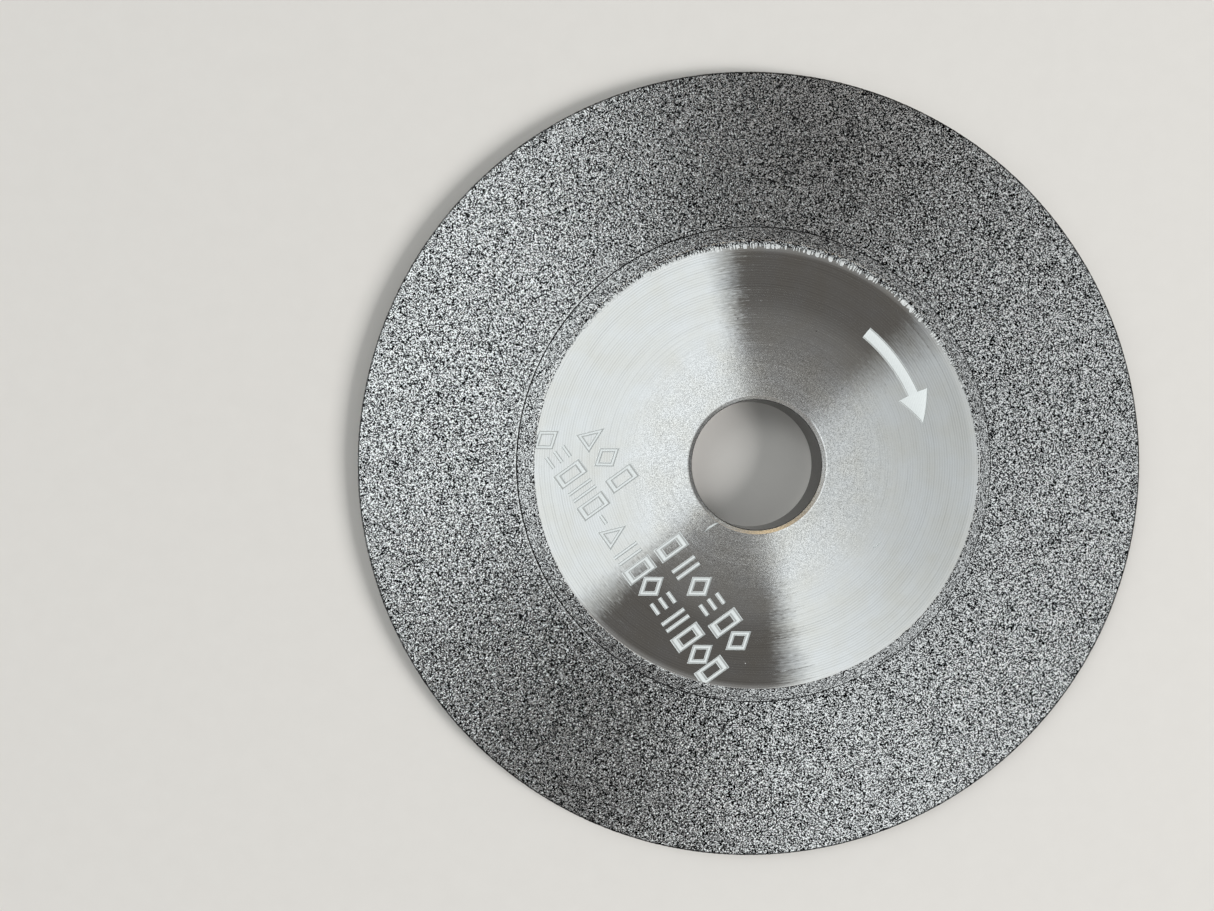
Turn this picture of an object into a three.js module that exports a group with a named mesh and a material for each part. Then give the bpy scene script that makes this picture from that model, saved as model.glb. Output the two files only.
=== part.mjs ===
// Flat-backed plated grinding wheel: a turned steel blank with a bore and a raised hub,
// and a thin metal-bonded grit coat on the step flank, the shallow cone and the rim.
// Millimetres, +Z up, bore axis on Z, back face on z = 0.
import * as THREE from 'three';

// ---- driving dimensions (mm) -------------------------------------------------------
const WHEEL_D = 125;          // outside diameter over the rim coat
const BORE_D = 20;            // bore for the arbor
const THICKNESS = 8;          // back face to hub face
const RIM_H = 2.2;            // height of the cone's outer edge above the back face
const HUB_D = 68.7;           // diameter of the hub face's outer edge, over the coat
const STEP_D = 74.4;          // diameter at the foot of the step flank
const STEP_FOOT_Z = 5.2;      // height of the foot of the step flank
const COAT = 0.25;            // thickness of the plated grit coat
const FOOT_GAP = 0.32;        // bare ring in the inner corner at the foot of the flank
const BORE_CHAMFER_TOP = 0.7; // chamfer of the bore on the hub face
const BORE_CHAMFER_BACK = 0.8;// chamfer of the bore on the back face
const RIM_BREAK = 0.3;        // edge break of the blank between back face and rim
const COAT_BREAK = 0.12;      // worn edge of the rim coat, top and bottom
const SEGMENTS = 144;         // flats round every circle, shared by all pieces

const R_WHEEL = WHEEL_D / 2;
const R_BORE = BORE_D / 2;
const R_HUB = HUB_D / 2;
const R_STEP = STEP_D / 2;
const R_BLANK = R_WHEEL - COAT;

// ---- coat and blank lines in the (radius, height) half plane -----------------------
// A line through a and b, and the same line set back from the air side by d.
function line(a, b) {
  const dr = b[0] - a[0], dz = b[1] - a[1], n = Math.hypot(dr, dz);
  return { p: a, d: [dr / n, dz / n] };
}
function setBack(l, d) {
  // the air side is to the left of the direction of travel, outward along the profile
  return { p: [l.p[0] + l.d[1] * d, l.p[1] - l.d[0] * d], d: l.d };
}
function cross(l, m) {
  const det = l.d[0] * m.d[1] - l.d[1] * m.d[0];
  const s = ((m.p[0] - l.p[0]) * m.d[1] - (m.p[1] - l.p[1]) * m.d[0]) / det;
  return [l.p[0] + l.d[0] * s, l.p[1] + l.d[1] * s];
}
function along(l, from, s) { return [from[0] + l.d[0] * s, from[1] + l.d[1] * s]; }
function atRadius(l, r) {
  const s = (r - l.p[0]) / l.d[0];
  return [r, l.p[1] + l.d[1] * s];
}

const hubEdge = [R_HUB, THICKNESS];
const foot = [R_STEP, STEP_FOOT_Z];
const coneEdge = [R_WHEEL, RIM_H];

const hubPlane = line([0, THICKNESS], [1, THICKNESS]);
const flankTop = line(hubEdge, foot);
const coneTop = line(foot, coneEdge);
const flankBlank = setBack(flankTop, COAT);
const coneBlank = setBack(coneTop, COAT);

const blankHubEdge = cross(hubPlane, flankBlank);
const blankFoot = cross(flankBlank, coneBlank);
const blankRimTop = atRadius(coneBlank, R_BLANK);

// the coat stops short of the inner corner on both sides and leaves a narrow bare ring
const flankCoatEndBlank = along(flankBlank, blankFoot, -FOOT_GAP / 2);
const coneCoatStartBlank = along(coneBlank, blankFoot, FOOT_GAP / 2);
const flankCoatEndTop = [flankCoatEndBlank[0] - flankTop.d[1] * COAT, flankCoatEndBlank[1] + flankTop.d[0] * COAT];
const coneCoatStartTop = [coneCoatStartBlank[0] - coneTop.d[1] * COAT, coneCoatStartBlank[1] + coneTop.d[0] * COAT];
const coneCoatEndTop = atRadius(coneTop, R_BLANK);

// ---- materials ---------------------------------------------------------------------
const turnedSteel = new THREE.MeshStandardMaterial({ name: 'turned_steel', color: 0xb9bcc0, roughness: 0.32, metalness: 1.0 });
const gritCoat = new THREE.MeshStandardMaterial({ name: 'plated_grit', color: 0x9a9da1, roughness: 0.62, metalness: 0.75 });

// ---- solids ------------------------------------------------------------------------
// Turns a closed profile in (radius, height) about the wheel axis.
function turned(name, profile, material) {
  const points = profile.map(([r, z]) => new THREE.Vector2(r, z));
  points.push(points[0].clone());
  const geometry = new THREE.LatheGeometry(points, SEGMENTS);
  geometry.rotateX(Math.PI / 2);
  const mesh = new THREE.Mesh(geometry, material);
  mesh.name = name;
  return mesh;
}

const wheel = new THREE.Group();
wheel.name = 'plated_grinding_wheel';

// Blank: bored disc with a raised hub, a steep step, a shallow cone and a thin rim.
wheel.add(turned('wheel_body', [
  [R_BORE, BORE_CHAMFER_BACK],
  [R_BORE + BORE_CHAMFER_BACK, 0],
  [R_BLANK - RIM_BREAK, 0],
  [R_BLANK, RIM_BREAK],
  blankRimTop,
  coneCoatStartBlank,
  blankFoot,
  flankCoatEndBlank,
  blankHubEdge,
  [R_BORE + BORE_CHAMFER_TOP, THICKNESS],
  [R_BORE, THICKNESS - BORE_CHAMFER_TOP],
], turnedSteel));

// Coat on the steep step between the hub face and the cone.
wheel.add(turned('flank_grit_coat', [
  blankHubEdge,
  flankCoatEndBlank,
  flankCoatEndTop,
  hubEdge,
], gritCoat));

// Coat on the shallow cone, the wheel's main working face.
wheel.add(turned('cone_grit_coat', [
  coneCoatStartBlank,
  blankRimTop,
  coneCoatEndTop,
  coneCoatStartTop,
], gritCoat));

// Coat round the outside edge, which closes over the cone coat's end.
wheel.add(turned('rim_grit_coat', [
  [R_BLANK, RIM_BREAK],
  [R_WHEEL - COAT_BREAK, RIM_BREAK],
  [R_WHEEL, RIM_BREAK + COAT_BREAK],
  [R_WHEEL, RIM_H - COAT_BREAK],
  [R_WHEEL - COAT_BREAK, atRadius(coneTop, R_WHEEL - COAT_BREAK)[1]],
  coneCoatEndTop,
  blankRimTop,
], gritCoat));

export default wheel;
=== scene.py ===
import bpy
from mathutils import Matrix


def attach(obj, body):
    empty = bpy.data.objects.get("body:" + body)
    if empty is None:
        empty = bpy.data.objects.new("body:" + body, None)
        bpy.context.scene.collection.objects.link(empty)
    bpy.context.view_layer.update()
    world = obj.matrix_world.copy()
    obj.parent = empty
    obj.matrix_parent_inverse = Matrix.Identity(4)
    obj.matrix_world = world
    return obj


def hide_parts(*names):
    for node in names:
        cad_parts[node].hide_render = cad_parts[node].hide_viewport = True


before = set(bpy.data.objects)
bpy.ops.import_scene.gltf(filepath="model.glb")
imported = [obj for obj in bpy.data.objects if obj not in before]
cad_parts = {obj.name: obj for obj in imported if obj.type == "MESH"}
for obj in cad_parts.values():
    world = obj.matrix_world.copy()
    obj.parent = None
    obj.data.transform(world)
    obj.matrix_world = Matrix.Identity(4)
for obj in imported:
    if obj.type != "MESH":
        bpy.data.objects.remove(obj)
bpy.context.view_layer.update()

# A plated grinding wheel: turned steel blank, grit coat on step, cone and rim.
# Metres in Blender; the shape code works in millimetres and scales once at the end.
import math

import bpy
import numpy as np
from mathutils import Matrix, Vector

MM = 0.001
TAU = 2 * math.pi

# ---- dimensions, mm, the same as the CAD -------------------------------------------
R_WHEEL = 62.5
R_BORE = 10.0
THICK = 8.0
RIM_H = 2.2
R_HUB = 34.35
R_STEP, Z_STEP = 37.2, 5.2
COAT = 0.25
R_BLANK = R_WHEEL - COAT
CH_TOP, CH_BACK = 0.7, 0.8
Z_HUB = 7.965          # steel hub face; the coat's lip round it comes up to 8.0
MARK_DEPTH = 0.03      # depth of the frosted marks
# the plating's inner edge: a circle a little off the bore's axis, as the masking left it
EDGE_R, EDGE_X, EDGE_Y = 34.15, -0.10, -0.52
LIP_R = 37.25          # where the cone's coat begins
FOOT_SHADE_DIR = 165.0      # direction where the painted shade in the bare line at the foot of the step is darkest


# =====================================================================================
# mesh helpers
# =====================================================================================
def new_object(name, verts_mm, faces, smooth=True, materials=()):
    me = bpy.data.meshes.new(name)
    me.from_pydata((np.asarray(verts_mm, float) * MM).tolist(), [], faces)
    me.validate(clean_customdata=False)
    me.update()
    me.polygons.foreach_set("use_smooth", [bool(smooth)] * len(me.polygons))
    ob = bpy.data.objects.new(name, me)
    bpy.context.scene.collection.objects.link(ob)
    for m in materials:
        me.materials.append(m)
    return ob


def stitch(a0, off0, a1, off1):
    """Triangles between two closed rings of points given by their angles, ring 0 then ring 1 along the profile."""
    n0, n1 = len(a0), len(a1)
    next0 = np.append(a0[1:], a0[0] + TAU)
    next1 = np.append(a1[1:], a1[0] + TAU)
    i = np.arange(n0)
    j = np.searchsorted(next1, next0, side="left")
    t0 = np.stack([off0 + i, off1 + j % n1, off0 + (i + 1) % n0], 1)
    j = np.arange(n1)
    i = np.searchsorted(next0, next1, side="right")
    t1 = np.stack([off0 + i % n0, off1 + j, off1 + (j + 1) % n1], 1)
    return np.concatenate([t0, t1])


class Path:
    """A polyline profile in (radius, height) with position and outward normal by arc length."""

    def __init__(self, points):
        self.p = np.array(points, float)
        d = np.diff(self.p, axis=0)
        self.len = np.hypot(d[:, 0], d[:, 1])
        self.s = np.concatenate([[0], np.cumsum(self.len)])
        self.total = self.s[-1]
        self.d = d / self.len[:, None]

    def at(self, s):
        k = min(max(int(np.searchsorted(self.s, s, side="right")) - 1, 0), len(self.len) - 1)
        q = self.p[k] + self.d[k] * (s - self.s[k])
        # normals turn smoothly through the corners
        half = 0.5 * self.len[k]
        f = (s - self.s[k]) - half
        d = self.d[k].copy()
        if f > 0 and k + 1 < len(self.len):
            w = max(0.0, 1 - (half - f) / 0.15) * 0.5
            d = d * (1 - w) + self.d[k + 1] * w
        elif f <= 0 and k > 0:
            w = max(0.0, 1 - (half + f) / 0.15) * 0.5
            d = d * (1 - w) + self.d[k - 1] * w
        d /= np.hypot(*d)
        return q, d, np.array([-d[1], d[0]])


def arc(cx, cz, r, a0, a1, n):
    """Points on a fillet, angles in degrees from the +radius direction."""
    return [(cx + r * math.cos(math.radians(a0 + (a1 - a0) * k / (n - 1))),
             cz + r * math.sin(math.radians(a0 + (a1 - a0) * k / (n - 1)))) for k in range(n)]


# =====================================================================================
# node helpers
# =====================================================================================
def new_material(name):
    m = bpy.data.materials.new(name)
    m.use_nodes = True
    nt = m.node_tree
    for n in list(nt.nodes):
        nt.nodes.remove(n)
    out = nt.nodes.new("ShaderNodeOutputMaterial")
    bsdf = nt.nodes.new("ShaderNodeBsdfPrincipled")
    nt.links.new(bsdf.outputs[0], out.inputs["Surface"])
    return m, nt, bsdf


class G:
    """Short hands for building node graphs."""

    def __init__(self, nt):
        self.nt = nt

    def node(self, kind, **props):
        n = self.nt.nodes.new(kind)
        for k, v in props.items():
            setattr(n, k, v)
        return n

    def put(self, socket, v):
        if isinstance(v, bpy.types.NodeSocket):
            self.nt.links.new(v, socket)
        elif v is not None:
            socket.default_value = v

    def math(self, op, a, b=None, c=None, clamp=False):
        n = self.node("ShaderNodeMath", operation=op, use_clamp=clamp)
        self.put(n.inputs[0], a)
        self.put(n.inputs[1], b)
        self.put(n.inputs[2], c)
        return n.outputs[0]

    def vmath(self, op, a, b=None, scale=None):
        n = self.node("ShaderNodeVectorMath", operation=op)
        self.put(n.inputs[0], a)
        if b is not None:
            self.put(n.inputs[1], b)
        if scale is not None:
            self.put(n.inputs["Scale"], scale)
        return n.outputs["Value" if op in ("LENGTH", "DOT_PRODUCT", "DISTANCE") else "Vector"]

    def noise(self, vec, scale, detail=2.0, rough=0.5, dim="3D", w=None, out="Fac"):
        n = self.node("ShaderNodeTexNoise", noise_dimensions=dim)
        if vec is not None and dim != "1D":
            self.put(n.inputs["Vector"], vec)
        if w is not None:
            self.put(n.inputs["W"], w)
        n.inputs["Scale"].default_value = scale
        n.inputs["Detail"].default_value = detail
        n.inputs["Roughness"].default_value = rough
        return n.outputs[out]

    def voronoi(self, vec, scale, feature="F1", out="Distance", randomness=1.0):
        n = self.node("ShaderNodeTexVoronoi", feature=feature)
        self.put(n.inputs["Vector"], vec)
        n.inputs["Scale"].default_value = scale
        n.inputs["Randomness"].default_value = randomness
        return n.outputs[out]

    def ramp(self, fac, stops, interp="LINEAR"):
        n = self.node("ShaderNodeValToRGB")
        n.color_ramp.interpolation = interp
        e = n.color_ramp.elements
        while len(e) > 1:
            e.remove(e[-1])
        e[0].position = stops[0][0]
        e[0].color = rgba(stops[0][1])
        for p, c in stops[1:]:
            k = e.new(p)
            k.color = rgba(c)
        self.put(n.inputs[0], fac)
        return n.outputs[0]

    def mix(self, fac, a, b, kind="RGBA", blend="MIX"):
        n = self.node("ShaderNodeMix", data_type=kind)
        if kind == "RGBA":
            n.blend_type = blend
            ia, ib, io = 6, 7, 2
        elif kind == "VECTOR":
            ia, ib, io = 4, 5, 1
        else:
            ia, ib, io = 2, 3, 0
        self.put(n.inputs[0], fac)
        self.put(n.inputs[ia], rgba(a) if isinstance(a, (tuple, list)) and kind == "RGBA" else a)
        self.put(n.inputs[ib], rgba(b) if isinstance(b, (tuple, list)) and kind == "RGBA" else b)
        return n.outputs[io]

    def remap(self, v, lo, hi, a=0.0, b=1.0, smooth=False):
        n = self.node("ShaderNodeMapRange", interpolation_type="SMOOTHSTEP" if smooth else "LINEAR")
        self.put(n.inputs["Value"], v)
        n.inputs["From Min"].default_value = lo
        n.inputs["From Max"].default_value = hi
        n.inputs["To Min"].default_value = a
        n.inputs["To Max"].default_value = b
        return n.outputs[0]

    def bump(self, height, strength, distance, normal=None):
        n = self.node("ShaderNodeBump")
        self.put(n.inputs["Height"], height)
        n.inputs["Strength"].default_value = strength
        n.inputs["Distance"].default_value = distance
        if normal is not None:
            self.put(n.inputs["Normal"], normal)
        return n.outputs[0]


def rgba(c):
    if isinstance(c, (int, float)):
        return (c, c, c, 1.0)
    return (*c[:3], 1.0)


def polar(g):
    """Object position in mm, radius in mm, and x, y, z in mm."""
    co = g.node("ShaderNodeTexCoord").outputs["Object"]
    mm = g.vmath("SCALE", co, scale=1000.0)
    sep = g.node("ShaderNodeSeparateXYZ")
    g.put(sep.inputs[0], mm)
    x, y, z = sep.outputs
    r = g.math("SQRT", g.math("ADD", g.math("MULTIPLY", x, x), g.math("MULTIPLY", y, y)))
    return mm, r, x, y, z


# =====================================================================================
# materials
# =====================================================================================
def edge_radius(g, x, y, r):
    """Radius of the plating's inner edge in this direction."""
    off = g.math("ADD", g.math("MULTIPLY", x, EDGE_X), g.math("MULTIPLY", y, EDGE_Y))
    return g.math("ADD", g.math("DIVIDE", off, r), EDGE_R)


def steel_material():
    m, nt, p = new_material("turned_steel")
    g = G(nt)
    mm, r, x, y, z = polar(g)
    # one-dimensional noise across the turning lines: fine feed marks and broad bands
    fine = g.noise(None, 3.6, 3.0, 0.6, "1D", w=r)
    band = g.noise(None, 0.55, 2.0, 0.5, "1D", w=r)
    # the lines are never perfect circles all the way round: they fade in and out with angle
    ang = g.math("ARCTAN2", y, x)
    comb = g.node("ShaderNodeCombineXYZ")
    g.put(comb.inputs[0], g.math("MULTIPLY", r, 2.4))
    g.put(comb.inputs[1], g.math("MULTIPLY", ang, 2.2))
    g.put(comb.inputs[2], z)
    arcs = g.noise(comb.outputs[0], 1.0, 3.0, 0.55)
    grain = g.noise(mm, 7.0, 3.0, 0.75)
    mott = g.noise(mm, 0.22, 3.0, 0.55)
    inner = g.remap(r, 13.5, 23.0, 1.0, 0.0, smooth=True)
    inner_b = g.math("ADD", g.math("MULTIPLY", inner, 0.75), 0.03)
    # colour: bright neutral steel, slightly warmer and darker in worn bands
    tone = g.math("ADD", g.math("MULTIPLY", arcs, 0.16), g.math("MULTIPLY", mott, 0.12))
    mark = g.math("SINE", g.math("MULTIPLY", g.math("ADD", r, g.math("MULTIPLY", mott, 0.3)), TAU / 0.38))
    tone = g.math("ADD", tone, g.math("MULTIPLY", mark, g.math("MULTIPLY", g.remap(arcs, 0.35, 0.65, 0.01, 0.07), g.remap(r, 15.0, 26.0, 0.15, 1.0))))
    speck = g.math("MULTIPLY", g.math("SUBTRACT", grain, 0.5), g.math("MULTIPLY", inner_b, 3.2))
    val = g.math("ADD", g.math("SUBTRACT", 0.88, tone), speck)
    col = g.mix(g.remap(mott, 0.35, 0.7), (0.985, 0.99, 1.0), (1.0, 0.985, 0.95))
    base = g.vmath("SCALE", col, scale=val)
    # the bare ring at the foot of the step and the hidden flank stay dark and dull: dull bare steel with painted shade
    # of the groove, painted nearly black towards one direction
    in_ring = g.math("MULTIPLY", g.math("GREATER_THAN", r, 36.2), g.math("MULTIPLY", g.math("LESS_THAN", r, 38.2), g.math("GREATER_THAN", z, 1.0)))
    spin = g.math("ARCTAN2", g.math("ADD", g.math("MULTIPLY", x, -math.sin(math.radians(FOOT_SHADE_DIR))), g.math("MULTIPLY", y, math.cos(math.radians(FOOT_SHADE_DIR)))),
                  g.math("ADD", g.math("MULTIPLY", x, math.cos(math.radians(FOOT_SHADE_DIR))), g.math("MULTIPLY", y, math.sin(math.radians(FOOT_SHADE_DIR)))))
    turn = g.math("ABSOLUTE", spin)
    foot_shade = g.remap(g.math("ADD", turn, g.math("MULTIPLY", g.math("SUBTRACT", arcs, 0.5), 0.6)), 0.90, 1.25, 1.0, 0.0, smooth=True)
    base = g.mix(in_ring, base, g.mix(foot_shade, (0.16, 0.16, 0.158), (0.015, 0.014, 0.013)))
    # bore: painted shade, the wall coloured dark to stand in for the dim light and dark reflections inside the hole
    in_bore = g.math("MULTIPLY", g.math("LESS_THAN", r, 10.06), 1.0)
    base = g.mix(in_bore, base, (0.085, 0.08, 0.076))
    # painted glints: rare white, matt specks on the hub below the bore
    dotv = g.node("ShaderNodeTexVoronoi", feature="F1")
    g.put(dotv.inputs["Vector"], mm)
    dotv.inputs["Scale"].default_value = 1.1
    dsep = g.node("ShaderNodeSeparateColor")
    g.put(dsep.inputs[0], dotv.outputs["Color"])
    rare = g.math("MULTIPLY", g.math("GREATER_THAN", dsep.outputs[0], 0.93), g.math("LESS_THAN", dotv.outputs["Distance"], g.remap(dsep.outputs[1], 0.0, 1.0, 0.05, 0.14)))
    low = g.math("MULTIPLY", g.math("LESS_THAN", y, -20.0), g.math("LESS_THAN", g.math("ABSOLUTE", g.math("ADD", x, 5.0)), 7.5))
    painted_glint = g.math("MULTIPLY", rare, g.math("MULTIPLY", g.math("GREATER_THAN", r, 13.0), low))
    pitv = g.node("ShaderNodeTexVoronoi", feature="F1")
    g.put(pitv.inputs["Vector"], g.vmath("ADD", mm, (31.0, 7.0, 3.0)))
    pitv.inputs["Scale"].default_value = 0.5
    psep = g.node("ShaderNodeSeparateColor")
    g.put(psep.inputs[0], pitv.outputs["Color"])
    pit = g.math("MULTIPLY", g.math("GREATER_THAN", psep.outputs[0], 0.95), g.math("LESS_THAN", pitv.outputs["Distance"], g.remap(psep.outputs[1], 0.0, 1.0, 0.04, 0.10)))
    base = g.mix(pit, base, (0.16, 0.15, 0.15))
    base = g.mix(painted_glint, base, (0.97, 0.98, 0.97))
    g.put(p.inputs["Base Color"], base)
    # a worn haze near the bore, and a hazy band inside the fringe of plating
    haze = g.math("MULTIPLY", g.remap(g.math("SUBTRACT", r, edge_radius(g, x, y, r)), -1.25, -0.45, 0.0, 1.0, smooth=True), g.math("LESS_THAN", r, 34.9))
    worn = g.math("ADD", g.math("MULTIPLY", inner, 0.5), g.remap(r, 21.5, 26.5, 0.5, 0.0, smooth=True))
    dull = g.math("ADD", g.math("MULTIPLY", worn, g.remap(grain, 0.3, 0.7, 0.04, 0.20)), g.math("MULTIPLY", haze, 0.14))
    dull = g.math("MAXIMUM", dull, g.math("MULTIPLY", painted_glint, 0.85))
    g.put(p.inputs["Metallic"], g.math("SUBTRACT", 1.0, dull))
    p.inputs["Anisotropic"].default_value = 1.0
    p.inputs["Anisotropic Rotation"].default_value = 0.25
    rough = g.math("ADD", 0.063, g.math("ADD", g.math("MULTIPLY", inner, 0.022), g.math("MULTIPLY", g.math("SUBTRACT", arcs, 0.5), 0.02)))
    rough = g.math("ADD", rough, g.math("MULTIPLY", in_ring, 0.5))
    g.put(p.inputs["Roughness"], rough)
    tan = g.node("ShaderNodeTangent", direction_type="RADIAL", axis="Z")
    g.put(p.inputs["Tangent"], tan.outputs[0])
    feed = g.math("SINE", g.math("MULTIPLY", r, TAU / 0.38))
    slope = g.math("ADD", g.math("MULTIPLY", g.math("SUBTRACT", fine, 0.5), 0.24), g.math("MULTIPLY", g.math("SUBTRACT", band, 0.5), 0.10))
    slope = g.math("MULTIPLY", g.math("ADD", slope, g.math("MULTIPLY", feed, 0.010)), g.remap(r, 10.75, 26.0, 0.12, 1.0))
    out = g.node("ShaderNodeCombineXYZ")
    g.put(out.inputs[0], g.math("DIVIDE", x, r))
    g.put(out.inputs[1], g.math("DIVIDE", y, r))
    geo = g.node("ShaderNodeNewGeometry")
    b1 = g.vmath("NORMALIZE", g.vmath("ADD", geo.outputs["Normal"], g.vmath("SCALE", out.outputs[0], scale=slope)))
    b2 = g.bump(g.math("MULTIPLY", grain, inner_b), 1.0, 0.0000025, b1)
    # streaks: short stretches of each line lean a little to one side
    sk = g.node("ShaderNodeCombineXYZ")
    g.put(sk.inputs[0], g.math("MULTIPLY", r, 4.6))
    g.put(sk.inputs[1], g.math("MULTIPLY", ang, 26.0))
    g.put(sk.inputs[2], g.math("ADD", z, 7.0))
    streak = g.noise(sk.outputs[0], 1.0, 3.0, 0.62)
    side = g.node("ShaderNodeCombineXYZ")
    g.put(side.inputs[0], g.math("MULTIPLY", g.math("DIVIDE", y, r), -1.0))
    g.put(side.inputs[1], g.math("DIVIDE", x, r))
    sk0 = g.math("SUBTRACT", streak, 0.5)
    sk3 = g.math("MULTIPLY", g.math("MULTIPLY", sk0, sk0), g.math("MULTIPLY", sk0, 0.30))
    lean = g.math("MULTIPLY", g.math("ADD", g.math("MULTIPLY", sk0, 0.010), sk3), g.math("SUBTRACT", 1.0, in_bore))
    nn = g.vmath("NORMALIZE", g.vmath("ADD", b2, g.vmath("SCALE", side.outputs[0], scale=lean)))
    g.put(p.inputs["Normal"], nn)
    return m


def etched_material():
    m, nt, p = new_material("frosted_etch")
    g = G(nt)
    mm, r, x, y, z = polar(g)
    # close parallel hatch lines of the marking, across the rows of marks
    wave = g.node("ShaderNodeTexWave", wave_type="BANDS", bands_direction="X")
    rot = g.node("ShaderNodeVectorRotate", rotation_type="Z_AXIS")
    g.put(rot.inputs["Vector"], mm)
    rot.inputs["Angle"].default_value = math.radians(20)
    g.put(wave.inputs["Vector"], rot.outputs[0])
    wave.inputs["Scale"].default_value = 0.9
    wave.inputs["Distortion"].default_value = 1.2
    wave.inputs["Detail"].default_value = 1.0
    n = g.noise(mm, 7.0, 3.0, 0.6)
    t = g.math("ADD", g.math("MULTIPLY", wave.outputs[1], 0.25), g.math("MULTIPLY", n, 0.75))
    fill = g.mix(t, (0.78, 0.815, 0.82), (0.94, 0.985, 0.99))
    # painted shade: the floor of the deeper outline is coloured dark grey along the marks' edges
    outline_shade = g.remap(z, Z_HUB - MARK_DEPTH - 0.024, Z_HUB - MARK_DEPTH - 0.008, 1.0, 0.0, smooth=True)
    g.put(p.inputs["Base Color"], g.mix(g.math("MULTIPLY", outline_shade, 0.75), fill, (0.36, 0.365, 0.36)))
    p.inputs["Metallic"].default_value = 0.15
    g.put(p.inputs["Roughness"], g.remap(n, 0.2, 0.8, 0.62, 0.8))
    g.put(p.inputs["Normal"], g.bump(t, 0.4, 0.00003))
    return m


def grit_material(name="plated_grit", level=0.0):
    """level turns the crystals' facets towards the slope of the cone, for the short steep flank."""
    m, nt, p = new_material(name)
    g = G(nt)
    mm, r, x, y, z = polar(g)
    att = g.node("ShaderNodeAttribute", attribute_name="grain")
    tone = att.outputs["Fac"]
    cell = g.voronoi(mm, 6.7, out="Color")
    sepc = g.node("ShaderNodeSeparateColor")
    g.put(sepc.inputs[0], cell)
    cr, cg, cb = sepc.outputs
    gaps = g.voronoi(mm, 6.7)
    fine = g.noise(mm, 16.5, 2.0, 0.6)
    big = g.noise(mm, 0.12, 2.0, 0.5)
    # painted shade: the tone (low for deep points, high for crystal tips) and the gaps at the cells' edges darken the
    # colour in the low places between crystals
    v = g.math("ADD", g.math("MULTIPLY", tone, 0.15), g.math("MULTIPLY", cr, 0.75))
    v = g.math("ADD", v, g.math("MULTIPLY", g.math("SUBTRACT", 0.50, gaps), 0.50))
    v = g.math("ADD", v, g.math("MULTIPLY", g.math("SUBTRACT", fine, 0.5), 0.22))
    v = g.math("ADD", v, g.math("MULTIPLY", g.math("SUBTRACT", big, 0.5), 0.05))
    base = g.ramp(v, [
        (0.0, (0.004, 0.004, 0.005)),
        (0.39, (0.008, 0.008, 0.009)),
        (0.44, (0.06, 0.06, 0.062)),
        (0.50, (0.55, 0.56, 0.57)),
        (0.60, (0.92, 0.93, 0.94)),
        (0.75, (1.0, 1.0, 1.0)),
        (1.0, (1.0, 1.0, 1.0)),
    ])
    if level:
        # painted highlight and shade: the nodules of plating at the hub's edge are painted white and matt, and dark
        # between them, on the upper side only
        past = g.math("SUBTRACT", r, edge_radius(g, x, y, r))
        edge = g.remap(past, 0.06, 0.26, 1.0, 0.0, smooth=True)
        upper = g.math("ADD", g.math("DIVIDE", y, r), g.math("MULTIPLY", g.math("DIVIDE", x, r), 0.10))
        edge = g.math("MULTIPLY", edge, g.remap(upper, 0.30, 0.75, 0.0, 1.0, smooth=True))
        white = g.math("MULTIPLY", edge, g.remap(tone, 0.34, 0.55, 0.0, 0.75, smooth=True))
        dark = g.math("MULTIPLY", edge, g.remap(tone, 0.30, 0.12, 0.0, 0.9, smooth=True))
        base = g.mix(dark, base, (0.05, 0.05, 0.05))
        base = g.mix(white, base, (0.93, 0.95, 0.95))
        g.put(p.inputs["Metallic"], g.math("SUBTRACT", 1.0, g.math("MULTIPLY", white, 0.85)))
    else:
        # painted highlight: the coat's first crystals beside the bare line are painted white on one side, where they
        # stand in the light
        lip = g.math("MULTIPLY", g.remap(r, LIP_R + 0.10, LIP_R + 0.34, 1.0, 0.0, smooth=True), g.remap(g.math("DIVIDE", x, r), -0.45, -0.75, 0.0, 0.35, smooth=True))
        base = g.mix(lip, base, (1.0, 1.0, 1.0))
        p.inputs["Metallic"].default_value = 1.0
    # painted shade: the colour darkens over the rim's outer rounded edge
    rim_edge_shade = g.remap(g.math("ADD", r, g.math("MULTIPLY", g.math("SUBTRACT", fine, 0.5), 0.12)), R_WHEEL - 0.34, R_WHEEL - 0.18, 1.0, 0.14, smooth=True)
    base = g.vmath("SCALE", base, scale=rim_edge_shade)
    g.put(p.inputs["Base Color"], base)
    g.put(p.inputs["Roughness"], g.remap(cg, 0.0, 1.0, 0.13, 0.25))
    # each crystal shows a facet of its own: tilt the normal by a random amount per cell
    geo = g.node("ShaderNodeNewGeometry")
    tilt = g.vmath("SCALE", g.vmath("SUBTRACT", cell, (0.5, 0.5, 0.5)), scale=0.27)
    face = geo.outputs["Normal"]
    if level:
        # turn the flank's facets by the angle between the flank and the cone
        comb = g.node("ShaderNodeCombineXYZ")
        g.put(comb.inputs[0], g.math("MULTIPLY", g.math("DIVIDE", x, r), -0.583))
        g.put(comb.inputs[1], g.math("MULTIPLY", g.math("DIVIDE", y, r), -0.583))
        comb.inputs[2].default_value = 0.28
        on_slope = g.math("MULTIPLY", g.remap(r, 34.3, 34.6, 0.0, level, smooth=True), g.math("GREATER_THAN", z, 5.0))
        face = g.vmath("NORMALIZE", g.vmath("ADD", face, g.vmath("SCALE", comb.outputs[0], scale=on_slope)))
    nn = g.vmath("NORMALIZE", g.vmath("ADD", face, tilt))
    g.put(p.inputs["Normal"], g.bump(fine, 0.5, 0.000015, nn))
    return m


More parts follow.
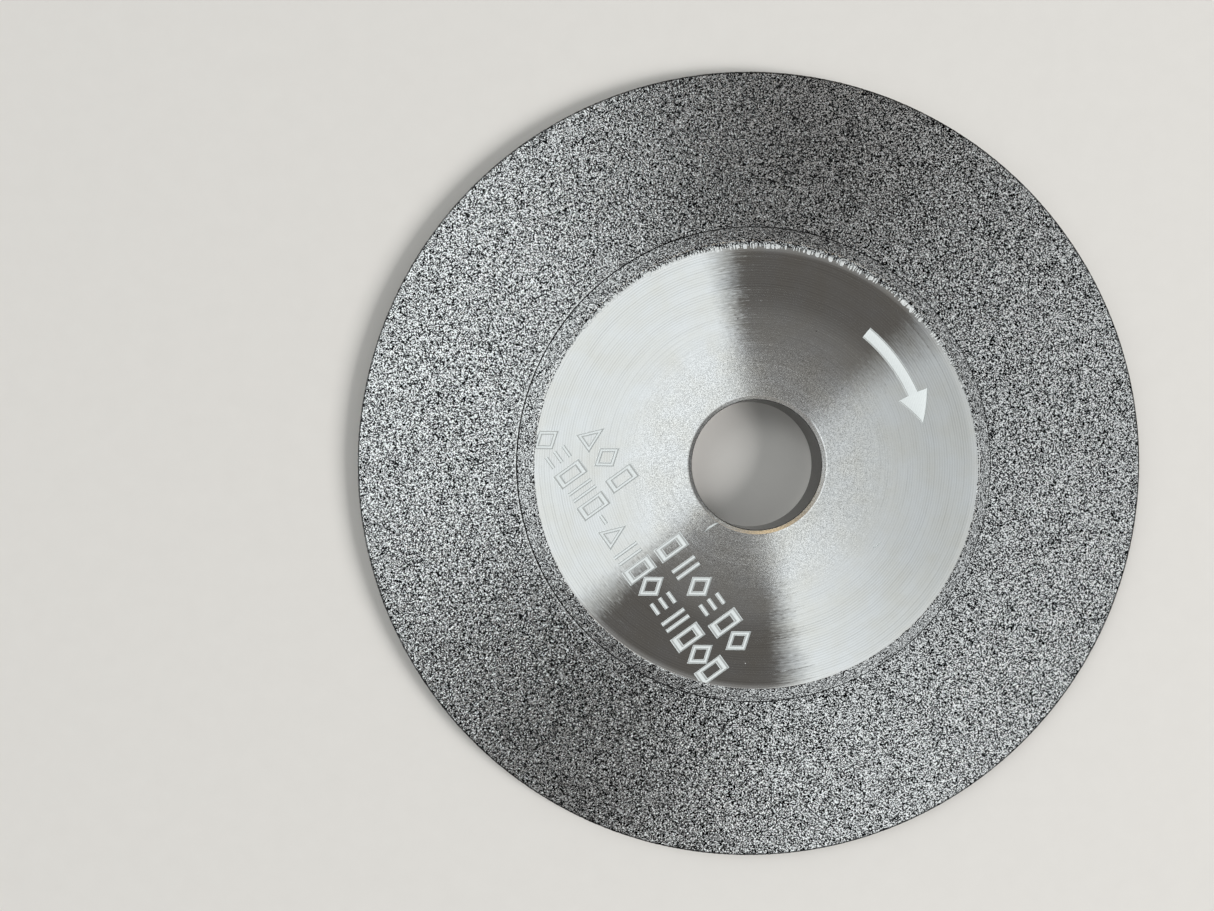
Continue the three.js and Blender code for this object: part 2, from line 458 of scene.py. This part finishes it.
def floor_material():
    m, nt, p = new_material("pale_floor")
    g = G(nt)
    co = g.node("ShaderNodeTexCoord").outputs["Object"]
    n = g.noise(co, 260.0, 3.0, 0.6)
    tone = g.mix(n, (0.775, 0.745, 0.715), (0.81, 0.78, 0.75))
    # painted light: the floor is coloured brighter away from the centre, making up for the lamps' falloff
    out = g.node("ShaderNodeVectorMath", operation="LENGTH")
    g.put(out.inputs[0], co)
    g.put(p.inputs["Base Color"], g.vmath("SCALE", tone, scale=g.remap(out.outputs["Value"], 0.5, 2.4, 1.0, 1.17, smooth=True)))
    p.inputs["Roughness"].default_value = 0.85
    p.inputs["Specular IOR Level"].default_value = 0.2
    return m


STEEL = steel_material()
ETCH = etched_material()
GRIT = grit_material()
GRIT_STEP = grit_material("plated_grit_step", 0.92)
FLOOR = floor_material()


# =====================================================================================
# grit coats: closed rings of random crystals over the nominal coat surface
# =====================================================================================
PITCH = 0.23
GRIT_AMP = 0.032     # peak to valley of the crystals
rng = np.random.RandomState(1234)


def coat_normal(a, b):
    d = np.array(b, float) - np.array(a, float)
    d /= np.hypot(*d)
    return d, np.array([-d[1], d[0]])


d_fl, n_fl = coat_normal((R_HUB, THICK), (R_STEP, Z_STEP))
d_co, n_co = coat_normal((R_STEP, Z_STEP), (R_WHEEL, RIM_H))


def cross2(p, d, q, e):
    det = d[0] * e[1] - d[1] * e[0]
    s = ((q[0] - p[0]) * e[1] - (q[1] - p[1]) * e[0]) / det
    return np.array([p[0] + d[0] * s, p[1] + d[1] * s])


P_HUB, P_FOOT, P_RIM = np.array([R_HUB, THICK]), np.array([R_STEP, Z_STEP]), np.array([R_WHEEL, RIM_H])
B_FLANK, B_CONE = P_FOOT - n_fl * COAT, P_FOOT - n_co * COAT
BLANK_FOOT = cross2(B_FLANK, d_fl, B_CONE, d_co)
GAP_FLANK, GAP_CONE = 0.44, 0.05
FLANK_END_B = BLANK_FOOT - d_fl * GAP_FLANK
CONE_START_B = BLANK_FOOT + d_co * GAP_CONE
FLANK_END_T = FLANK_END_B + n_fl * COAT
CONE_START_T = CONE_START_B + n_co * COAT
CONE_END_T = np.array([R_BLANK, P_FOOT[1] + (R_BLANK - P_FOOT[0]) * d_co[1] / d_co[0]])
BLANK_RIM_TOP = np.array([R_BLANK, B_CONE[1] + (R_BLANK - B_CONE[0]) * d_co[1] / d_co[0]])


def grit_ring(path, s, pitch, amp, jitter=0.33, lift=0.0):
    """One ring of crystal points at arc length s of the path."""
    q, d, n = path.at(s)
    count = max(24, int(round(TAU * q[0] / pitch)))
    a = (np.arange(count) + 0.5 * rng.rand()) * TAU / count
    a = a + rng.uniform(-jitter, jitter, count) * TAU / count
    a.sort()
    a = np.mod(a, TAU)
    a.sort()
    # painted shade: each point's tone t = 1 - u falls as its depth grows
    u = rng.rand(count)
    h = -amp * u ** 1.15 + lift
    along = rng.uniform(-jitter, jitter, count) * pitch
    rr = q[0] + n[0] * h + d[0] * along
    zz = q[1] + n[1] * h + d[1] * along
    return {"a": a, "r": rr, "z": zz, "t": 1.0 - u}


def plain_ring(r, z, count=400, tone=0.3):
    a = np.arange(count) * TAU / count
    return {"a": a, "r": np.full(count, float(r)), "z": np.full(count, float(z)), "t": np.full(count, tone)}


def coat_object(name, rings, material):
    verts, tone, tris, off = [], [], [], []
    n = 0
    for k in rings:
        off.append(n)
        verts.append(np.stack([k["r"] * np.cos(k["a"]), k["r"] * np.sin(k["a"]), k["z"]], 1))
        tone.append(k["t"])
        n += len(k["a"])
    for i in range(len(rings)):
        j = (i + 1) % len(rings)
        tris.append(stitch(rings[i]["a"], off[i], rings[j]["a"], off[j]))
    verts, tris = np.concatenate(verts), np.concatenate(tris)
    ob = new_object(name, verts, tris.tolist(), smooth=False, materials=[material])
    # the grain attribute carries each point's tone, painted shade for the coat's colour
    att = ob.data.attributes.new("grain", "FLOAT", "POINT")
    att.data.foreach_set("value", np.concatenate(tone).astype(np.float32))
    return ob


def rings_along(points, pitch, amp, first=True, last=True, jitter=0.33):
    path = Path(points)
    n = max(2, int(round(path.total / pitch)))
    out = []
    for k in range(n + 1):
        if (k == 0 and not first) or (k == n and not last):
            continue
        out.append(grit_ring(path, path.total * k / n, pitch, amp, jitter if 0 < k < n else 0.0))
    return out


# the ring of points that the cone coat and the rim coat share, at the cone's outer end
rim_lip = grit_ring(Path([tuple(CONE_START_T), tuple(CONE_END_T), (R_WHEEL, RIM_H)]),
                    float(np.hypot(*(CONE_END_T - CONE_START_T))), PITCH, GRIT_AMP * 0.5, 0.0)

cone_rings = rings_along([tuple(CONE_START_T), tuple(CONE_END_T)], PITCH, GRIT_AMP, last=False)
cone_rings += [rim_lip, plain_ring(R_BLANK, BLANK_RIM_TOP[1] + 0.005), plain_ring(CONE_START_B[0], CONE_START_B[1] + 0.005)]
cone = coat_object("cone_grit", cone_rings, GRIT)

# rim: over the rounded top edge, down the periphery and under the rounded lower edge
rim_pts = [tuple(CONE_END_T)] + arc(R_WHEEL - 0.16, RIM_H - 0.14, 0.16, 78, 0, 5) + arc(R_WHEEL - 0.12, 0.3 + 0.12, 0.12, 0, -90, 4) + [(R_BLANK + 0.01, 0.3)]
rim_rings = [rim_lip] + rings_along(rim_pts, 0.24, GRIT_AMP * 0.62, first=False)
rim_rings += [plain_ring(R_BLANK, 0.31), plain_ring(R_BLANK, BLANK_RIM_TOP[1] + 0.005)]
rim = coat_object("rim_grit", rim_rings, GRIT)

# step flank, with a fringe of plating nodules over the hub face's edge
NOD = 1080                       # 540 nodules, about 0.4 mm apart, with a gap between each two
size_of = rng.rand(NOD // 2) ** 0.8
lean_of = rng.uniform(-0.9, 0.9, NOD // 2)
where_of = np.cumsum(rng.uniform(0.45, 1.55, NOD))
where_of *= TAU / where_of[-1]
joined = np.repeat(rng.rand(NOD // 2) < 0.30, 2)      # some neighbours have grown together


def edge_at(a):
    return EDGE_R + EDGE_X * np.cos(a) + EDGE_Y * np.sin(a)


def surface_z(r):
    """Height of the coat's nominal surface: the hub's top, then the flank."""
    return np.minimum(THICK, THICK + (r - R_HUB) * d_fl[1] / d_fl[0])


def fringe_ring(tip_at, gap_at, z_tip, z_gap, r_var=0.0, lean=0.0):
    k = np.arange(NOD)
    tip = (k % 2 == 0) | joined
    a = where_of + np.where(k % 2 == 0, lean * lean_of[k // 2], 0.0) * 0.5 * TAU / NOD
    a = np.maximum.accumulate(a)
    big = np.clip(size_of[k // 2] + 0.25 * (rng.rand(NOD) - 0.5), 0, 1)
    e = edge_at(a)
    up = np.clip((np.sin(a) + 0.10 * np.cos(a) - 0.30) / 0.45, 0.0, 1.0)
    up = 0.22 + 0.78 * up * up * (3 - 2 * up)
    r = e + up * np.where(tip, tip_at - r_var * (big - 0.5), gap_at) + 0.05 * (rng.rand(NOD) - 0.5)
    z = np.where(r < R_HUB, np.where(tip, z_tip, z_gap), surface_z(r) - np.where(tip, 0.012, 0.04))
    order = np.argsort(np.mod(a, TAU), kind="stable")
    # painted highlight and shade: on the upper side the tips get a high tone and the gaps a low one
    t = np.where(tip, 0.30 + 0.70 * big, 0.10 * rng.rand(NOD)) * up + (1 - up) * rng.rand(NOD)
    return {"a": np.mod(a, TAU)[order], "r": r[order], "z": z[order], "t": t[order]}


def slope_ring(s, pitch=0.23, amp=GRIT_AMP):
    """A ring of crystals at share s of the way from the fringe to the flank's foot."""
    count = int(round(TAU * 35.8 / pitch))
    a = np.sort(np.mod((np.arange(count) + rng.uniform(-0.33, 0.33, count) + 0.5 * rng.rand()) * TAU / count, TAU))
    start = edge_at(a) + 0.44
    r = start + (FLANK_END_T[0] - start) * s
    if 0 < s < 1:
        r = r + rng.uniform(-0.06, 0.06, count)
    # painted shade: the tone t = 1 - u falls as the point sits deeper
    u = rng.rand(count)
    z = surface_z(r)
    h = -amp * u ** 1.15
    flat = r < R_HUB
    return {"a": a, "r": r + np.where(flat, 0.0, n_fl[0] * h), "z": z + np.where(flat, 0.75 * h, n_fl[1] * h), "t": 1.0 - u}


flank_rings = [
    fringe_ring(-0.42, -0.04, Z_HUB + 0.003, Z_HUB + 0.002, 0.50, 0.8),
    fringe_ring(-0.25, -0.01, THICK - 0.001, Z_HUB + 0.005, 0.34, 0.8),
    fringe_ring(0.06, 0.03, THICK - 0.001, THICK - 0.026, 0.10, 0.4),
    fringe_ring(0.26, 0.20, THICK - 0.004, THICK - 0.030),
]
flank_rings += [slope_ring(k / 16) for k in range(17)]
flank_rings += [plain_ring(FLANK_END_B[0], FLANK_END_B[1]), plain_ring(R_HUB - 0.55, Z_HUB - 0.06)]
flank = coat_object("flank_grit", flank_rings, GRIT_STEP)


# =====================================================================================
# steel blank: one closed turned solid with real turning grooves
# =====================================================================================
COLS = 480


def groove_rows(r0, r1, z, pitch, depth, seed, sign=-1.0, deep=()):
    """Rows across a turned face: small uneven grooves, and a few deeper ones at given radii."""
    rs = np.random.RandomState(seed)
    n = int(round(abs(r1 - r0) / pitch))
    out = []
    for k in range(n + 1):
        r = r0 + (r1 - r0) * k / n
        g = depth * (0.25 + 0.75 * rs.rand()) if k % 2 else depth * 0.15 * rs.rand()
        if k in (0, n):
            g = 0.0
        out.append((r, z + sign * g))
    for rd, dd in deep:
        i = int(np.argmin([abs(q[0] - rd) for q in out]))
        out[i] = (rd, z + sign * dd)
    return out


top_ch = [(R_BORE, THICK - CH_TOP - 0.03), (R_BORE + 0.02, THICK - CH_TOP + 0.02), (R_BORE + 0.18, THICK - CH_TOP + 0.17),
          (R_BORE + 0.36, THICK - CH_TOP + 0.345), (R_BORE + 0.54, THICK - CH_TOP + 0.525),
          (R_BORE + CH_TOP - 0.06, Z_HUB - 0.042), (R_BORE + CH_TOP - 0.015, Z_HUB - 0.012), (R_BORE + CH_TOP + 0.04, Z_HUB)]
face = groove_rows(R_BORE + CH_TOP + 0.10, 34.08, Z_HUB, 0.19, 0.0032, 7, deep=((31.9, 0.010), (27.9, 0.006)))
hub_edge = [(34.2, Z_HUB), (34.29, Z_HUB - 0.03), tuple(FLANK_END_B - n_fl * 0.005), tuple(BLANK_FOOT - n_fl * 0.02), tuple(CONE_START_B - n_co * 0.005)]
rim_side = [tuple(BLANK_RIM_TOP), (R_BLANK, 1.2), (R_BLANK, 0.34), (R_BLANK - 0.03, 0.27), (R_BLANK - 0.27, 0.03), (R_BLANK - 0.34, 0.0)]
back = groove_rows(61.8, R_BORE + CH_BACK + 0.12, 0.0, 0.55, 0.010, 11, sign=1.0, deep=((48.0, 0.03), (30.0, 0.025)))
back_ch = [(R_BORE + CH_BACK + 0.03, 0.0), (R_BORE + CH_BACK - 0.03, 0.03), (R_BORE + 0.5, 0.32), (R_BORE + 0.25, 0.56), (R_BORE + 0.03, CH_BACK - 0.03), (R_BORE, CH_BACK + 0.04)]
rs = np.random.RandomState(5)
wall = [(R_BORE + (0.006 * rs.rand() if k % 2 else 0.0), CH_BACK + 0.1 + (THICK - CH_TOP - CH_BACK - 0.2) * k / 28) for k in range(29)]
profile = np.array(top_ch + face + hub_edge + rim_side + back + back_ch + wall)

ang = np.arange(COLS) * TAU / COLS
rows = len(profile)
verts = np.stack([np.outer(profile[:, 0], np.cos(ang)), np.outer(profile[:, 0], np.sin(ang)), np.repeat(profile[:, 1:2], COLS, 1)], 2).reshape(-1, 3)
i, j = np.meshgrid(np.arange(rows), np.arange(COLS), indexing="ij")
i2, j2 = (i + 1) % rows, (j + 1) % COLS
quads = np.stack([i * COLS + j, i2 * COLS + j, i2 * COLS + j2, i * COLS + j2], 2).reshape(-1, 4)
body = new_object("steel_blank", verts, quads.tolist(), smooth=True, materials=[STEEL, ETCH])

# =====================================================================================
# generic marks, cut into the hub face: plain outlined shapes, bars and a turning arrow
# =====================================================================================
PX = 6.53                         # mark layout scale


def at(u, v):
    return np.array([(u - 757.4) / PX, (464.9 - v) / PX])


Z_TOP = 8.3
FLOOR_Z = Z_HUB - MARK_DEPTH
EDGE_Z = FLOOR_Z - 0.035          # the outline is cut a little deeper than the filling; its floor carries painted shade
cut_v, cut_f = [], []


def add_cutter(verts, faces):
    o = len(cut_v)
    cut_v.extend(verts)
    cut_f.extend([[o + k for k in f] for f in faces])


def regular(c, R, n, turn):
    a = turn + np.arange(n) * TAU / n
    return c + np.stack([R * np.cos(a), R * np.sin(a)], 1)


def dense(loop, step=0.35):
    """More points along straight sides, so that long sides follow the grooved face."""
    out = []
    for k in range(len(loop)):
        a, b = loop[k], loop[(k + 1) % len(loop)]
        n = max(1, int(np.hypot(*(b - a)) / step))
        for q in range(n):
            out.append(a + (b - a) * q / n)
    return out


def ring_cutter(loops, zs):
    """loops from outside to inside, all with the same number of points; a closed band-shaped cutter."""
    n, L = len(loops[0]), len(loops)
    v = [(*p, z) for loop, z in zip(loops, zs) for p in loop]
    v += [(*p, Z_TOP) for p in loops[0]] + [(*p, Z_TOP) for p in loops[-1]]
    to, ti = L * n, (L + 1) * n
    f = []
    for k in range(n):
        m = (k + 1) % n
        for q in range(L - 1):
            f.append([q * n + k, (q + 1) * n + k, (q + 1) * n + m, q * n + m])
        f.append([k, m, to + m, to + k])
        f.append([(L - 1) * n + m, (L - 1) * n + k, ti + k, ti + m])
        f.append([to + k, to + m, ti + m, ti + k])
    add_cutter(v, f)


def outline(c, R, n, turn, w=0.68, stretch=None, axis=0.0):
    """A regular polygon drawn as an outline of width w. stretch scales it along the direction axis."""
    ap = R * math.cos(math.pi / n)
    loops = []
    for off in (w / 2, w / 2 - 0.11, w / 2 - 0.24, -w / 2 + 0.24, -w / 2 + 0.11, -w / 2):
        loops.append(regular(np.zeros(2), R * (ap + off) / ap, n, turn))
    out = []
    for l in loops:
        if stretch:
            e = np.array([math.cos(axis), math.sin(axis)])
            l = l + np.outer(l @ e, e) * (stretch - 1)
        out.append(l + c)
    ring_cutter(out, [FLOOR_Z, EDGE_Z, FLOOR_Z, FLOOR_Z, EDGE_Z, FLOOR_Z])


def strip_cutter(left, right, edge=0.11):
    """A filled strip between two point rows, with the burnt outline along both sides."""
    left, right = np.array(left), np.array(right)
    n = len(left)
    w = np.hypot(*(right - left).T)
    cols, z = [], []
    for off, zz in ((0, FLOOR_Z), (edge, EDGE_Z), (2.2 * edge, FLOOR_Z)):
        t = np.minimum(off / np.maximum(w, 1e-6), 0.47 + 0.01 * off)
        cols.append(left + (right - left) * t[:, None]); z.append(zz)
    for off, zz in ((2.2 * edge, FLOOR_Z), (edge, EDGE_Z), (0, FLOOR_Z)):
        t = 1 - np.minimum(off / np.maximum(w, 1e-6), 0.47 + 0.01 * off)
        cols.append(left + (right - left) * t[:, None]); z.append(zz)
    C = len(cols)
    v = [(*cols[c][k], z[c]) for k in range(n) for c in range(C)] + [(*cols[c][k], Z_TOP) for k in range(n) for c in range(C)]
    T = n * C
    f = []
    for k in range(n - 1):
        for c in range(C - 1):
            a, b, d, e = k * C + c, k * C + c + 1, (k + 1) * C + c + 1, (k + 1) * C + c
            f.append([a, b, d, e])
            f.append([T + e, T + d, T + b, T + a])
        f.append([k * C, (k + 1) * C, T + (k + 1) * C, T + k * C])
        f.append([k * C + C - 1, T + k * C + C - 1, T + (k + 1) * C + C - 1, (k + 1) * C + C - 1])
    for c in range(C - 1):
        f.append([c, T + c, T + c + 1, c + 1])
        k = (n - 1) * C
        f.append([k + c, k + c + 1, T + k + c + 1, T + k + c])
    add_cutter(v, [q[::-1] for q in f])


def bar(c, direction, length, w=0.68):
    d = np.array(direction, float); d /= np.hypot(*d)
    e = np.array([-d[1], d[0]])
    n = max(3, int(length / 0.4))
    s = np.linspace(-length / 2, length / 2, n)
    left = [c + d * t + e * w / 2 for t in s]
    right = [c + d * t - e * w / 2 for t in s]
    strip_cutter(left, right)


# turning arrow, upper right: a bold arc with a plain head, following the hub
A_MID, A_R = 58.0, 26.3
cw = lambda deg, rad: np.array([rad * math.sin(math.radians(deg)), rad * math.cos(math.radians(deg))])
hw = 0.95
left, right = [], []
for t in np.linspace(A_MID - 18.5, A_MID + 7.5, 26):
    left.append(cw(t, A_R + hw)); right.append(cw(t, A_R - hw))
for k, t in enumerate(np.linspace(A_MID + 7.7, A_MID + 18.3, 14)):
    q = 2.5 * (1 - k / 13.0) + 0.03
    left.append(cw(t, A_R + q)); right.append(cw(t, A_R - q))
strip_cutter(left, right, 0.13)

# two rows of plain shapes, lower left
ROW_D = np.array([0.583, -0.812])     # along a row
ROW_U = np.array([0.812, 0.583])      # across a row
AX = math.atan2(ROW_U[1], ROW_U[0])


def shape(kind, c):
    if kind == "s":      # tall box
        outline(c, 1.28, 4, AX + math.pi / 4, w=0.62, stretch=2.05, axis=AX)
    elif kind == "d":    # diamond
        outline(c, 1.36, 4, AX, w=0.60, stretch=1.36, axis=AX)
    elif kind == "t":    # triangle
        outline(c - ROW_U * 0.45, 1.42, 3, AX, w=0.58, stretch=1.42, axis=AX)
    elif kind == "e":    # two bars
        bar(c - ROW_D * 0.62, ROW_U, 4.2, 0.62)
        bar(c + ROW_D * 0.62, ROW_U, 4.2, 0.62)
    elif kind == "w":    # three dashes, one over the other
        for k in (-1.55, 0.0, 1.55):
            bar(c + ROW_U * k, ROW_D, 2.0, 0.66)
    elif kind == "-":    # short dash along the row
        bar(c, ROW_D, 1.5)


for kinds, start, places in (
        ("tdssedwsd", at(592, 437), (0, 25, 51, 136, 161, 184, 206, 229, 251)),
        ("dwses-tesdwesds", at(546, 440), (0, 21, 42, 62, 81, 98, 116, 140, 160, 180, 201, 222, 243, 264, 284))):
    for kind, q in zip(kinds, places):
        shape(kind, start + ROW_D * q / PX)

# a small ding at the bore's edge and a few light handling scratches
def scratch(p, q, w, bend=0.0):
    p, q = np.array(p), np.array(q)
    d = q - p
    e = np.array([-d[1], d[0]])
    s = np.linspace(0, 1, 11)
    mid = [p + d * t + e * bend * 4 * t * (1 - t) for t in s]
    u = e / np.hypot(*e)
    wid = [w * (0.06 + math.sin(math.pi * min(max(t, 0.02), 0.98)) ** 0.8) / 2 for t in s]
    strip_cutter([m + u * k for m, k in zip(mid, wid)], [m - u * k for m, k in zip(mid, wid)], w / 5)


scratch(at(704.5, 531.5), at(718.6, 522.6), 0.34, 0.05)
scratch(at(873.5, 548.5), at(882.0, 542.5), 0.30, 0.03)

cutter = new_object("mark_cutter", cut_v, cut_f, smooth=False, materials=[ETCH])
cut = body.modifiers.new("marks", "BOOLEAN")
cut.operation = "DIFFERENCE"
cut.object = cutter
cut.solver = "MANIFOLD"
cut.material_mode = "TRANSFER"
bpy.context.view_layer.update()
dg = bpy.context.evaluated_depsgraph_get()
made = bpy.data.meshes.new_from_object(body.evaluated_get(dg), depsgraph=dg)
if len(made.polygons) > 1000:
    body.modifiers.clear()
    old = body.data
    body.data = made
    bpy.data.meshes.remove(old)
else:
    body.modifiers.clear()
bpy.data.objects.remove(cutter)
slots = [mt.name if mt else None for mt in body.data.materials]
print("BODY", len(body.data.polygons), "faces, slots", slots, flush=True)
body.data.set_sharp_from_angle(angle=math.radians(28))

# =====================================================================================
# the pieces stand for the CAD nodes
# =====================================================================================
for ob, node, slot in ((body, "wheel_body", "turned_steel"), (flank, "flank_grit_coat", "plated_grit"),
                       (cone, "cone_grit_coat", "plated_grit"), (rim, "rim_grit_coat", "plated_grit")):
    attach(ob, "root")
    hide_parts(node)

# =====================================================================================
# floor, light and camera
# =====================================================================================
fm = bpy.data.meshes.new("floor")
N_FLOOR, R_FLOOR = 96, 6.0
fm.from_pydata([(R_FLOOR * math.cos(TAU * k / N_FLOOR), R_FLOOR * math.sin(TAU * k / N_FLOOR), -0.00005) for k in range(N_FLOOR)], [], [tuple(range(N_FLOOR))])
floor = bpy.data.objects.new("floor", fm)
fm.materials.append(FLOOR)
bpy.context.scene.collection.objects.link(floor)

world = bpy.data.worlds.new("studio")
bpy.context.scene.world = world
world.use_nodes = True
wt = world.node_tree
for n in list(wt.nodes):
    wt.nodes.remove(n)
g = G(wt)
wout = g.node("ShaderNodeOutputWorld")
bg = g.node("ShaderNodeBackground")
wt.links.new(bg.outputs[0], wout.inputs["Surface"])
dirv = g.node("ShaderNodeTexCoord").outputs["Generated"]
sx = g.node("ShaderNodeSeparateXYZ")
g.put(sx.inputs[0], dirv)
down = g.math("MAXIMUM", sx.outputs[2], 0.02)
# sectors are counted round the direction that the hub reflects to the camera at the bore
su = g.math("SUBTRACT", g.math("DIVIDE", sx.outputs[0], down), 0.1802)
sv = g.math("ADD", g.math("DIVIDE", sx.outputs[1], down), 0.0159)
away = g.math("SQRT", g.math("ADD", g.math("MULTIPLY", su, su), g.math("MULTIPLY", sv, sv)))
az = g.math("ARCTAN2", su, sv)
frac = g.math("FRACT", g.math("ADD", g.math("DIVIDE", az, TAU), 1.0))
GAIN = 1.6                        # the ramps hold brightness over this number


def cwc(deg, L, tint=(1, 1, 1)):
    return (deg / 360.0, tuple(L / GAIN * t for t in tint))


# high up: what the flat turned face sees
PANEL = (0.95, 1.0, 1.0)      # the panels are very slightly cool
ROOM = (1.05, 1.0, 0.93)       # the dim room between them is slightly warm
PANELS = [cwc(0, 0.12, ROOM), cwc(45, 0.12, ROOM), cwc(60, 0.6, PANEL), cwc(120, 0.7, PANEL), cwc(165, 1.0, PANEL), cwc(175, 0.12, ROOM),
          cwc(225, 0.12, ROOM), cwc(235, 1.0, PANEL), cwc(345, 1.0, PANEL), cwc(355, 0.12, ROOM), cwc(360, 0.12, ROOM)]
wide = g.remap(away, 0.6, 1.0, 0.0, 1.0, smooth=True)
sky = g.vmath("SCALE", g.ramp(frac, PANELS), scale=g.remap(wide, 0.0, 1.0, 1.0, 0.8))
sky = g.vmath("ADD", sky, g.vmath("SCALE", (1.0, 1.0, 1.0), scale=g.remap(wide, 0.0, 1.0, 0.0, 0.15)))
sky = g.vmath("SCALE", sky, scale=GAIN)
# near the horizon the room is an even grey, with one warm bounce card low at 12 o'clock
LOW = [cwc(0, 0.35, PANEL), cwc(360, 0.35, PANEL)]
GOLD = (1.3, 1.0, 0.6)
BOUNCE = [cwc(0, 0.7, GOLD), cwc(30, 0.35, GOLD), cwc(60, 0.25, ROOM), cwc(270, 0.25, ROOM), cwc(330, 0.35, GOLD), cwc(360, 0.7, GOLD)]
low = g.vmath("SCALE", g.ramp(frac, LOW), scale=GAIN)
warm = g.vmath("SCALE", g.ramp(frac, BOUNCE), scale=GAIN)
up_z = sx.outputs[2]
low = g.mix(g.math("MULTIPLY", g.remap(up_z, 0.05, 0.065, 0.0, 1.0), g.remap(up_z, 0.245, 0.27, 1.0, 0.0)), low, warm)
lift = g.remap(up_z, 0.25, 0.34, 0.0, 1.0, smooth=True)
light = g.mix(lift, low, sky)
lp = g.node("ShaderNodeLightPath")
light = g.vmath("SCALE", light, scale=g.remap(lp.outputs["Is Diffuse Ray"], 0.0, 1.0, 1.0, 0.52))
seen = g.mix(lp.outputs["Is Camera Ray"], light, (0.80, 0.795, 0.785))
g.put(bg.inputs["Color"], seen)
bg.inputs["Strength"].default_value = 1.0


def softbox(name, azimuth, elevation, dist, size, watts, colour):
    a, e = math.radians(azimuth), math.radians(elevation)
    d = Vector((math.sin(a) * math.cos(e), math.cos(a) * math.cos(e), math.sin(e)))
    l = bpy.data.lights.new(name, "AREA")
    l.shape, l.size, l.size_y = "RECTANGLE", size[0], size[1]
    l.energy, l.color = watts, colour
    o = bpy.data.objects.new(name, l)
    bpy.context.scene.collection.objects.link(o)
    o.location = d * dist
    o.rotation_mode = "QUATERNION"
    o.rotation_quaternion = (-d).to_track_quat("-Z", "Y")
    o.visible_camera = False
    o.visible_glossy = False      # it lights the floor and the marks softly, and leaves no spot in the metal
    return o


softbox("key", 112, 31, 2.0, (0.75, 0.75), 36.0, (1.0, 1.0, 0.985))
softbox("fill", 318, 52, 1.6, (0.7, 0.7), 4.0, (0.96, 1.0, 1.0))

# camera: almost straight down, to the left of the bore, as measured
F_PX, W_PX = 912.0, 1214.0
ax, ay = math.radians(0.32), math.radians(-0.84)
T = np.array([23.04, 1.44, 139.6])
Rx = np.array([[1, 0, 0], [0, math.cos(ax), -math.sin(ax)], [0, math.sin(ax), math.cos(ax)]])
Ry = np.array([[math.cos(ay), 0, math.sin(ay)], [0, 1, 0], [-math.sin(ay), 0, math.cos(ay)]])
Fl = np.diag([1.0, -1.0, -1.0])
Rv = Fl @ (Ry @ Rx) @ Fl
tv = Fl @ T - Rv @ np.array([0, 0, THICK])
Rw = Rv.T
pos = -Rw @ tv * MM
cam_data = bpy.data.cameras.new("camera")
cam_data.sensor_width = 36.0
cam_data.sensor_fit = "HORIZONTAL"
cam_data.lens = 36.0 * F_PX / W_PX
cam_data.clip_start, cam_data.clip_end = 0.005, 20.0
cam = bpy.data.objects.new("camera", cam_data)
bpy.context.scene.collection.objects.link(cam)
M = Matrix.Identity(4)
for a in range(3):
    for b in range(3):
        M[a][b] = Rw[a][b]
    M[a][3] = pos[a]
cam.matrix_world = M
bpy.context.scene.camera = cam
bpy.context.scene.view_settings.view_transform = "Standard"
